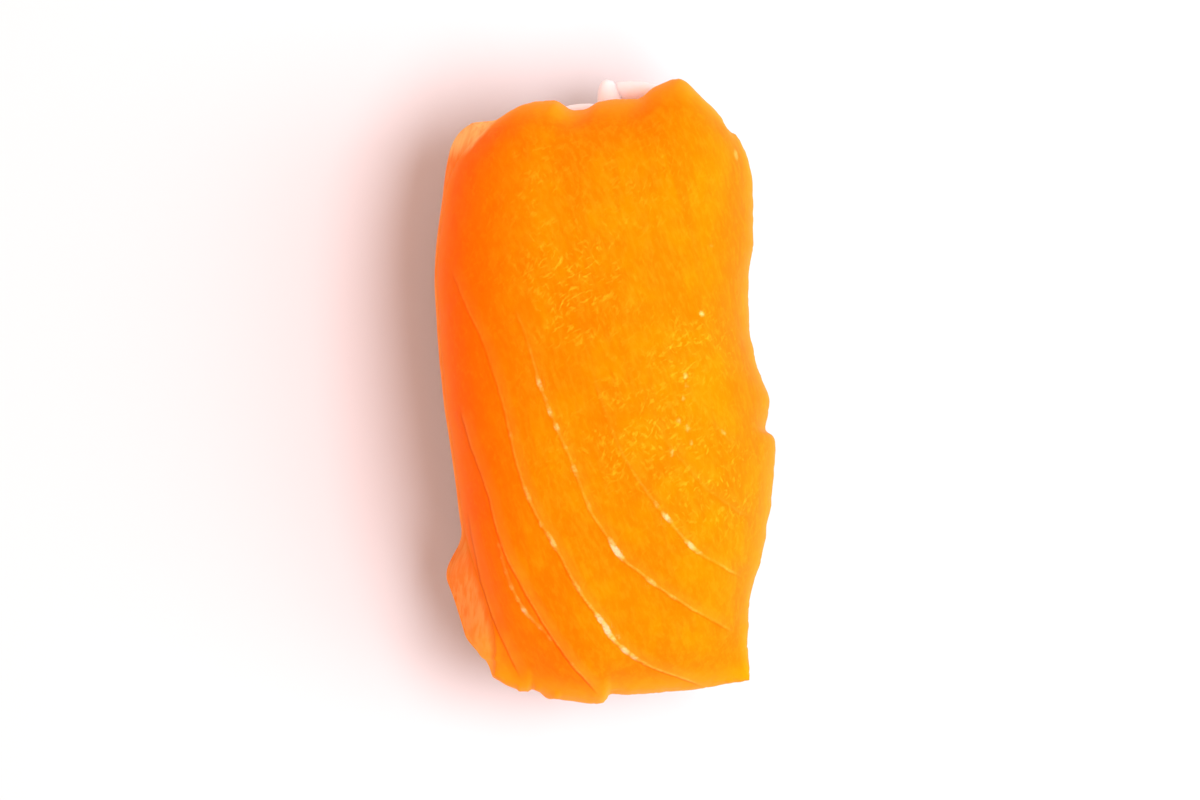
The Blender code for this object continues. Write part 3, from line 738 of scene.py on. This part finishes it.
def fleshColour(finish, mottle):
    # the upper side without its lines: mottled, banded along the fibres, with painted shade that deepens
    # the left side and painted light along the edges
    look = salmonLook
    blotch = mottle * 0.6 + finish.noise(*look["broadMottle"]) * 0.4
    colour = finish.mix(finish.step(blotch, 0.35, 0.65), look["deep"], look["fresh"])
    band = finish.streaks(look["bandStretch"], look["bandTurn"], 0.6)
    colour = finish.mix(finish.step(band, 0.48, 0.64) * look["bandStrength"], colour, look["deep"])
    grit = finish.streaks(look["gritStretch"], look["gritTurn"], 0.6)
    colour = finish.mix(finish.step(grit, 0.40, 0.70) * look["gritStrength"], colour, look["glint"])
    # painted shade deepening the left side, then painted light along the edges
    colour = finish.mix(finish.value("flankShade") * look["flankShadeStrength"], colour, look["flankShade"])
    return finish.mix(finish.value("rim"), colour, look["rim"])


def wetGlintStrokes(finish):
    # painted highlights: short wet glints that run three ways across the fibres, in patches
    glint = 0.0
    for turn, strength in salmonLook["strokeTurns"]:
        stroke = finish.noise(1.0, 1.0, 0.4, finish.place(salmonLook["strokeStretch"], turn), 0.2)
        patch = finish.step(finish.noise(420.0 + 90.0 * turn, 1.0, 0.5), 0.38, 0.64)
        glint = finish.step(stroke, 0.56, 0.73) * patch * strength + glint
    return glint * finish.value("wetGlint")


def fatOver(finish, colour, speckle, crumb):
    # fat lines laid over a colour, with their flecks, their grooves in painted shade, painted light just
    # right of each line and painted shade just left of it, and the height that they add
    look = salmonLook
    fade = finish.step(finish.noise(*look["fade"]), 0.30, 0.62) * 0.75 + 0.25
    wobble = finish.noise(*look["wobble"]) - 0.5
    fleck = finish.value("fleck")
    white = finish.mix(finish.step(fleck, 0.35, 0.85), look["paleFat"], look["fat"])
    seams = 0.0
    for number in (0, 1):
        offset = finish.value(f"lineOffset{number}") + wobble * look["wobbleWidth"]
        shine = finish.value(f"lineShine{number}") * fade
        depth = finish.value(f"lineDepth{number}")
        fromFat = abs(offset - 0.10)
        fromGroove = abs(offset + 0.10)
        leftward = offset * -1.0
        body = (1.0 - finish.step(fromFat, 0.03, 0.20)) * shine * (crumb * 1.6 + 0.1)
        # painted shade in the groove; painted light just right of the line and painted shade just left of
        # it
        groove = (1.0 - finish.step(fromGroove, 0.02, 0.17)) * depth
        litSide = (1.0 - finish.step(offset, 0.2, 1.5)) * finish.step(offset, 0.0, 0.2) * depth
        shade = (1.0 - finish.step(leftward, 0.1, 1.2)) * finish.step(leftward, 0.0, 0.2) * depth
        colour = finish.mix(litSide * look["sideLightShade"], colour, look["line"])
        colour = finish.mix(shade * look["sideLightShade"], colour, look["groove"])
        colour = finish.mix(groove * look["grooveShade"], colour, look["groove"])
        colour = finish.mix(body * (speckle * 0.8 + 0.6), colour, look["line"])
        blob = (1.0 - finish.step(fromFat, 0.12, 0.44)) * fleck
        blob = finish.step(blob * (speckle * 2.2 - 0.1), 0.16, 0.85)
        colour = finish.mix(blob * (crumb * 0.7 + 0.45), colour, white)
        seams = body * 0.5 - groove * 0.6 + blob * 0.5 + seams
    return colour, seams


def salmonFinish():
    look = salmonLook
    finish = Finish("rawSalmon")
    mottle = finish.noise(*look["mottle"])
    colour = fleshColour(finish, mottle)
    glint = wetGlintStrokes(finish)
    # painted highlights: the wet glints laid into the colour; below they also lower the roughness and raise
    # the bump
    colour = finish.mix(glint * look["paintedGlintStrength"], colour, look["glint"])
    speckle = finish.noise(*look["speckle"])
    crumb = finish.noise(*look["crumb"])
    colour, seams = fatOver(finish, colour, speckle, crumb)

    bit = finish.value("spot")
    spot = finish.step(bit * (speckle + 0.5), 0.12, 0.6)
    white = finish.mix(finish.step(bit, 0.45, 0.8), look["paleFat"], look["fat"])
    colour = finish.mix(spot * (crumb * 0.7 + 0.45), colour, white)

    # the cut face, streaked along the fibres and palest at its front end, partly painted light that lifts
    # the fold there, and at its back corner
    cut = finish.value("cutFace")
    streak = finish.streaks(look["streakStretch"], look["streakTurn"], 0.5)
    flesh = finish.mix(finish.step(streak * 0.7 + mottle * 0.3, 0.36, 0.60), look["cutDeep"], look["cut"])
    colour = finish.mix(cut, colour, flesh)
    colour = finish.mix(finish.value("paleLitCutEnd") * (cut * 0.55 + 0.25), colour, look["paleLitCutEnd"])
    pale = finish.value("patch") * (finish.step(streak, 0.35, 0.6) * 0.4 + 0.6)
    colour = finish.mix(pale, colour, look["patch"])

    fibre = finish.streaks(look["fibreStretch"], look["fibreTurn"], 0.5)
    height = fibre * 0.5 + glint * 0.5 + seams + spot * 0.4 + cut * streak * 0.7
    rough = look["roughness"] - glint * 0.2 + cut * 0.12 + (mottle - 0.5) * 0.15
    normal = finish.bump(height, look["bumpDepth"], look["bumpStrength"])
    finish.feed(Base_Color=colour, Roughness=rough, Normal=normal)
    finish.feed(
        IOR=look["ior"], Specular_IOR_Level=look["specular"], Specular_Tint=look["specularTint"],
        Subsurface_Weight=look["inside"], Subsurface_Scale=look["insideScale"],
        Subsurface_Radius=look["insideRadius"],
    )
    return finish


# The rice: loose grains at true size over a core that stands for the pressed inside.
riceShape = {
    "length": 6.4 * mm,
    "width": 3.1 * mm,
    "thick": 2.75 * mm,
    "segments": 8,
    "rings": 5,
    "roundness": 0.92,
    "plump": (0.10, -0.06),
    "dent": (0.6, 0.1, 0.22),
    "bend": 0.07,
    "count": 670,
    "draws": 16000,
    "spacing": 2.1 * mm,
    "tilt": 0.28,
    "sizes": (0.86, 1.06),
    "lengths": (0.92, 1.06),
    "seed": 21,
    "pushSteps": 24,
    "pushShare": 0.12,
    "closest": 0.86,  # how near the middles of two grains may come, in thicknesses
    "tipRoom": 2.7 * mm,  # other grains keep this far from those that stand out at the back
    "tipLean": 0.3,
    "restHeight": 0.02 * mm,
    "coreDepth": 2.0 * mm,
    "coreRestHeight": 0.3 * mm,
}

riceLook = {
    "grain": rgb(0.76, 0.75, 0.74),
    "shade": rgb(0.66, 0.64, 0.62),
    # painted light: the grains standing out at the back are painted whiter than the rest
    "tip": rgb(0.96, 0.95, 0.95),
    "core": rgb(0.62, 0.60, 0.58),
    "litTipTone": 2.0,  # other grains have a tone from 0 to 1
    "cloudy": (420.0, 3.0, 0.5),
    "fine": (1500.0, 2.0, 0.6),
    "coreCloudy": (380.0, 3.0, 0.5),
    "bumpDepth": 0.08 * mm,
    "bumpStrength": 0.5,
    "roughness": 0.34,
    "specular": 0.4,
    "inside": 0.35,
    "insideScale": 1.4 * mm,
    "insideRadius": (1.0, 0.85, 0.7),
    "coreBumpDepth": 0.3 * mm,
    "coreBumpStrength": 0.6,
    "coreRoughness": 0.45,
    "coreSpecular": 0.35,
}

# Grains that stand out past the slice at the back: the middle in millimetres, and the turn about Z.
tipGrains = (
    ((0.7, 27.6, 8.6), 97.0),
    ((3.3, 29.2, 8.3), -6.0),
    ((-2.2, 27.0, 8.2), 3.0),
    ((-7.0, 26.4, 6.8), 12.0),
)


def grainTemplate():
    # one plump cooked grain along X: blunt at one end, a little bent, with a dent where the germ was
    shape = riceShape
    builder = bmesh.new()
    bmesh.ops.create_uvsphere(
        builder, u_segments=shape["segments"], v_segments=shape["rings"], radius=1.0,
    )
    bmesh.ops.rotate(builder, verts=builder.verts[:], matrix=Matrix.Rotation(math.pi / 2.0, 3, "Y"))
    towardsEnd, atEnds = shape["plump"]
    dentX, dentY, dentSlope = shape["dent"]
    for vert in builder.verts:
        x, y, z = vert.co
        plump = 1.0 + towardsEnd * x + atEnds * x * x
        y = math.copysign(abs(y) ** shape["roundness"], y) * plump
        z = math.copysign(abs(z) ** shape["roundness"], z) * plump
        if x > dentX and y > dentY:
            y -= dentSlope * (x - dentX)
        vert.co = (x * shape["length"] / 2.0, y * shape["width"] / 2.0, z * shape["thick"] / 2.0)
        vert.co.y += shape["bend"] * shape["width"] * (x * x - 0.5)
    mesh = bpy.data.meshes.new("grainTemplate")
    builder.to_mesh(mesh)
    builder.free()
    return mesh


def mergedCopy(node):
    builder = bmesh.new()
    builder.from_mesh(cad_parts[node].data)
    bmesh.ops.remove_doubles(builder, verts=builder.verts[:], dist=0.001 * mm)
    builder.normal_update()
    return builder


def scatterGrains(block):
    # places over the block's surface, each at least a spacing from the others, with a direction
    shape = riceShape
    draw = random.Random(shape["seed"])
    faces = block.faces[:]
    areas = [face.calc_area() for face in faces]
    chosen = []
    for face in draw.choices(faces, weights=areas, k=shape["draws"]):
        corners = [vert.co for vert in face.verts]
        a, b = sorted((draw.random(), draw.random()))
        spot = corners[0] * a + corners[1] * (b - a) + corners[2] * (1.0 - b)
        if all((spot - other[0]).length > shape["spacing"] for other in chosen):
            turn = Vector([draw.gauss(0.0, 1.0) for _ in range(3)])
            normal = face.normal.copy()
            tilt = draw.gauss(0.0, shape["tilt"])
            direction = (turn - normal * turn.dot(normal)).normalized() + normal * tilt
            chosen.append((spot, normal, direction.normalized()))
        if len(chosen) >= shape["count"]:
            break
    return chosen


def relaxGrains(block, grains):
    # pushes grains apart until neighbours only just press into each other, keeping them in the surface
    shape = riceShape
    tree = BVHTree.FromBMesh(block)
    middle = np.array([spot - normal * shape["thick"] * 0.5 for spot, normal, _ in grains])
    direction = np.array([turn for _, _, turn in grains])
    half = (shape["length"] - shape["width"]) / 2.0
    closest = shape["thick"] * shape["closest"]
    for _ in range(shape["pushSteps"]):
        push = np.zeros_like(middle)
        for share in (-1.0, 0.0, 1.0):
            mine = middle + direction * half * share
            for otherShare in (-1.0, 0.0, 1.0):
                other = middle + direction * half * otherShare
                gap = mine[:, None, :] - other[None, :, :]
                distance = np.linalg.norm(gap, axis=-1)
                np.fill_diagonal(distance, 1.0)
                over = np.clip(closest - distance, 0.0, None)
                push += (gap / distance[..., None] * over[..., None]).sum(axis=1) * shape["pushShare"]
        middle += push
        for number, place in enumerate(middle):
            near, normal, _, _ = tree.find_nearest(Vector(place))
            lean = abs(Vector(direction[number]).dot(normal))
            depth = shape["thick"] * 0.5 + (shape["length"] - shape["thick"]) * 0.5 * lean
            middle[number] = near - normal * depth
    return middle, direction


def placeGrains(block):
    # where each grain goes, as a matrix, and its tone
    shape = riceShape
    middle, direction = relaxGrains(block, scatterGrains(block))
    draw = random.Random(shape["seed"] + 1)
    tips = [Vector(spot) * mm for spot, _ in tipGrains]
    placed = []
    for spot, turn in zip(middle, direction):
        if any((Vector(spot) - tip).length < shape["tipRoom"] for tip in tips):
            continue
        forward = Vector(turn)
        side = forward.orthogonal().normalized()
        lie = Matrix((forward, side, forward.cross(side))).transposed().to_4x4()
        spin = Matrix.Rotation(draw.uniform(0.0, 2.0 * math.pi), 4, "X")
        size = draw.uniform(*shape["sizes"])
        stretch = Matrix.Diagonal((size * draw.uniform(*shape["lengths"]), size, size, 1.0))
        placed.append((Matrix.Translation(Vector(spot)) @ lie @ spin @ stretch, draw.random()))
    for tip, (_, turn) in zip(tips, tipGrains):
        lie = Euler((shape["tipLean"], 0.0, math.radians(turn))).to_matrix().to_4x4()
        placed.append((Matrix.Translation(tip) @ lie, riceLook["litTipTone"]))
    return placed


def makeRice():
    shape = riceShape
    block = mergedCopy("rice_block")
    placed = placeGrains(block)
    template = grainTemplate()
    heap = bmesh.new()
    tones = []
    for matrix, tone in placed:
        first = len(heap.verts)
        heap.from_mesh(template)
        heap.verts.ensure_lookup_table()
        bmesh.ops.transform(heap, matrix=matrix, verts=heap.verts[first:])
        tones += [tone] * (len(heap.verts) - first)
    for vert in heap.verts:
        vert.co.z = max(vert.co.z, shape["restHeight"])
    mesh = bpy.data.meshes.new("riceGrains")
    heap.to_mesh(mesh)
    heap.free()
    keepValues(mesh, "tone", tones)
    bpy.data.meshes.remove(template)
    grains = makePiece("riceGrains", mesh, riceFinish())
    rounded = grains.modifiers.new("rounded", "SUBSURF")
    rounded.levels = 1
    rounded.render_levels = 1
    print("grains placed:", len(placed))

    # the core behind the grains: the block drawn in, and softened
    for vert in block.verts:
        vert.co -= vert.normal * shape["coreDepth"]
        vert.co.z = max(vert.co.z, shape["coreRestHeight"])
    bmesh.ops.smooth_vert(
        block, verts=block.verts[:], factor=0.5, use_axis_x=True, use_axis_y=True, use_axis_z=True,
    )
    coreMesh = bpy.data.meshes.new("riceCore")
    block.to_mesh(coreMesh)
    block.free()
    return grains, makePiece("riceCore", coreMesh, coreFinish())


def riceFinish():
    # each grain has its own tone, from a duller to a clearer white, and the grains standing out at the back
    # are painted whiter still, as painted light
    look = riceLook
    finish = Finish("cookedRice")
    tone = finish.value("tone")
    cloudy = finish.noise(*look["cloudy"])
    colour = finish.mix(finish.step(cloudy * 0.6 + tone * 0.4, 0.3, 0.75), look["shade"], look["grain"])
    # painted light: the grains standing out at the back are painted whiter
    colour = finish.mix(finish.step(tone, 1.2, 1.8), colour, look["tip"])
    fine = finish.noise(*look["fine"])
    normal = finish.bump(fine * 0.4 + cloudy, look["bumpDepth"], look["bumpStrength"])
    finish.feed(Base_Color=colour, Roughness=look["roughness"] + cloudy * 0.2, Normal=normal)
    finish.feed(
        Specular_IOR_Level=look["specular"], Subsurface_Weight=look["inside"],
        Subsurface_Scale=look["insideScale"], Subsurface_Radius=look["insideRadius"],
    )
    return finish


def coreFinish():
    look = riceLook
    finish = Finish("riceCore")
    cloudy = finish.noise(*look["coreCloudy"])
    colour = finish.mix(finish.step(cloudy, 0.35, 0.65), look["shade"], look["core"])
    normal = finish.bump(cloudy, look["coreBumpDepth"], look["coreBumpStrength"])
    finish.feed(Base_Color=colour, Roughness=look["coreRoughness"] + cloudy * 0.2, Normal=normal)
    finish.feed(Specular_IOR_Level=look["coreSpecular"])
    return finish


# Floor, light and camera, in metres. The key lamp is long from front to back.
studio = {
    "floorSize": 4.0,
    "floorDrop": 0.05 * mm,
    "floorColour": rgb(0.69, 0.69, 0.69),
    "floorRoughness": 0.9,
    "floorSpecular": 0.1,
    "skyColour": rgb(1.0, 0.62, 0.52),
    "skyStrength": 1.0,
    "lampColour": (0.875, 0.90, 1.0),
    "lamps": {
        "softKey": {"power": 5.9, "long": 0.62, "wide": 0.34, "place": (0.32, -0.055, 0.735)},
        "sideFill": {"power": 2.5, "long": 0.46, "wide": 0.46, "place": (0.58, -0.05, 0.50)},
    },
    "cameraHeight": 0.49,
    "cameraPlace": (-0.34 * mm, -0.56 * mm),
    "sensorWidth": 36.0,
    "millimetresAcross": 115.9,
    "scaleHeight": 0.011,  # height at which the picture is that many millimetres across
}


def makeFloor():
    builder = bmesh.new()
    bmesh.ops.create_grid(builder, x_segments=1, y_segments=1, size=studio["floorSize"] / 2.0)
    bmesh.ops.translate(builder, verts=builder.verts[:], vec=(0.0, 0.0, -studio["floorDrop"]))
    mesh = bpy.data.meshes.new("floor")
    builder.to_mesh(mesh)
    builder.free()
    finish = Finish("paleFloor")
    finish.feed(
        Base_Color=studio["floorColour"], Roughness=studio["floorRoughness"],
        Specular_IOR_Level=studio["floorSpecular"],
    )
    return makePiece("floor", mesh, finish)


def makeLight():
    world = bpy.data.worlds.new("studioAir")
    bpy.context.scene.world = world
    world.use_nodes = True
    air = world.node_tree.nodes["Background"]
    air.inputs["Color"].default_value = studio["skyColour"]
    air.inputs["Strength"].default_value = studio["skyStrength"]
    for name, values in studio["lamps"].items():
        lamp = bpy.data.lights.new(name, "AREA")
        lamp.shape = "ELLIPSE"
        lamp.size = values["long"]
        lamp.size_y = values["wide"]
        lamp.energy = values["power"]
        lamp.color = studio["lampColour"]
        light = bpy.data.objects.new(name, lamp)
        light.location = values["place"]
        light.rotation_euler = (-Vector(values["place"])).to_track_quat("-Z", "Y").to_euler()
        bpy.context.scene.collection.objects.link(light)


def makeCamera():
    lens = bpy.data.cameras.new("camera")
    lens.sensor_width = studio["sensorWidth"]
    distance = studio["cameraHeight"]
    lens.lens = lens.sensor_width * distance / mm / studio["millimetresAcross"]
    camera = bpy.data.objects.new("camera", lens)
    placeX, placeY = studio["cameraPlace"]
    camera.location = (placeX, placeY, cadBounds[0].z + studio["scaleHeight"] + distance)
    bpy.context.scene.collection.objects.link(camera)
    bpy.context.scene.camera = camera


makeCamera()
makeLight()
makeFloor()
print("studio ready")

salmon = makeSalmon()
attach(salmon, "root")
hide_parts("salmon_slice")
print("salmon ready")

grains, core = makeRice()
for piece in (grains, core):
    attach(piece, "root")
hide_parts("rice_block")
print("rice ready")

bpy.context.scene.view_settings.view_transform = "Standard"
